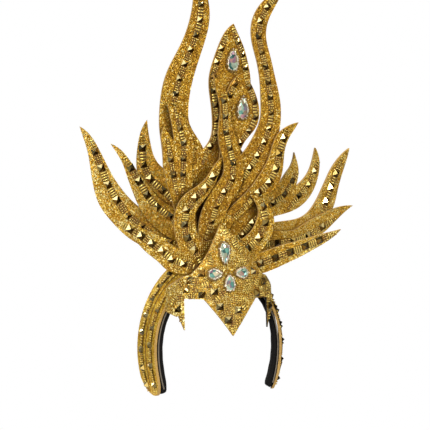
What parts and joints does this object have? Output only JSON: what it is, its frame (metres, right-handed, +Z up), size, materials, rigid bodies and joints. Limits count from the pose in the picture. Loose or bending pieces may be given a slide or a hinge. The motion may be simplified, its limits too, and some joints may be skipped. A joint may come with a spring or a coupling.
{
  "type": "carnival crown",
  "caption": "Tall carnival crown: padded head band, bent gold crest plate on the forehead and layered gold glitter foam flames with pyramid studs and pear-shaped stones.",
  "frame": {"origin": "top of the head, midway across the inner side of the band and midway between its ears", "axes": "+Z up, -Y the way the wearer looks, +X to the right of someone who faces the wearer"},
  "size_m": [0.3482, 0.0789, 0.4891],
  "materials": {
    "gold_glitter_foam": "gold glitter sheet, tan cut edges, black back",
    "gold_studs": "polished",
    "stone_settings": "satin",
    "cut_stones": "faceted with a rainbow coating",
    "black_padding": "matt cloth over foam",
    "black_foam": "matt"
  },
  "bodies": {
    "root": {"arm_panel_left": "gold_glitter_foam", "arm_panel_right": "gold_glitter_foam", "centre_flame": "gold_glitter_foam", "crest_core": "black_foam", "crest_plate": "gold_glitter_foam", "front_flames": "gold_glitter_foam", "head_band": "black_padding", "left_fan_high": "gold_glitter_foam", "left_fan_low": "gold_glitter_foam", "left_fan_mid": "gold_glitter_foam", "left_spray": "gold_glitter_foam", "lower_leaf_plate": "gold_glitter_foam", "right_fan_high": "gold_glitter_foam", "right_fan_low": "gold_glitter_foam", "right_fan_mid": "gold_glitter_foam", "right_spray": "gold_glitter_foam", "setting_crest_left": "stone_settings", "setting_crest_low": "stone_settings", "setting_crest_right": "stone_settings", "setting_crest_top": "stone_settings", "setting_lower_leaf": "stone_settings", "setting_upper_leaf": "stone_settings", "stone_crest_left": "cut_stones", "stone_crest_low": "cut_stones", "stone_crest_right": "cut_stones", "stone_crest_top": "cut_stones", "stone_lower_leaf": "cut_stones", "stone_upper_leaf": "cut_stones", "studs_arm_left": "gold_studs", "studs_arm_right": "gold_studs", "studs_centre_flame": "gold_studs", "studs_crest_plate": "gold_studs", "studs_front_flames": "gold_studs", "studs_left_fan_high": "gold_studs", "studs_left_fan_low": "gold_studs", "studs_left_fan_mid": "gold_studs", "studs_left_horn": "gold_studs", "studs_left_spray": "gold_studs", "studs_loop_backing": "gold_studs", "studs_lower_leaf": "gold_studs", "studs_right_fan_high": "gold_studs", "studs_right_fan_low": "gold_studs", "studs_right_fan_mid": "gold_studs", "studs_right_horn": "gold_studs", "studs_right_spray": "gold_studs", "studs_upper_leaf": "gold_studs", "upper_leaf_plate": "gold_glitter_foam"}
  },
  "joints": []
}
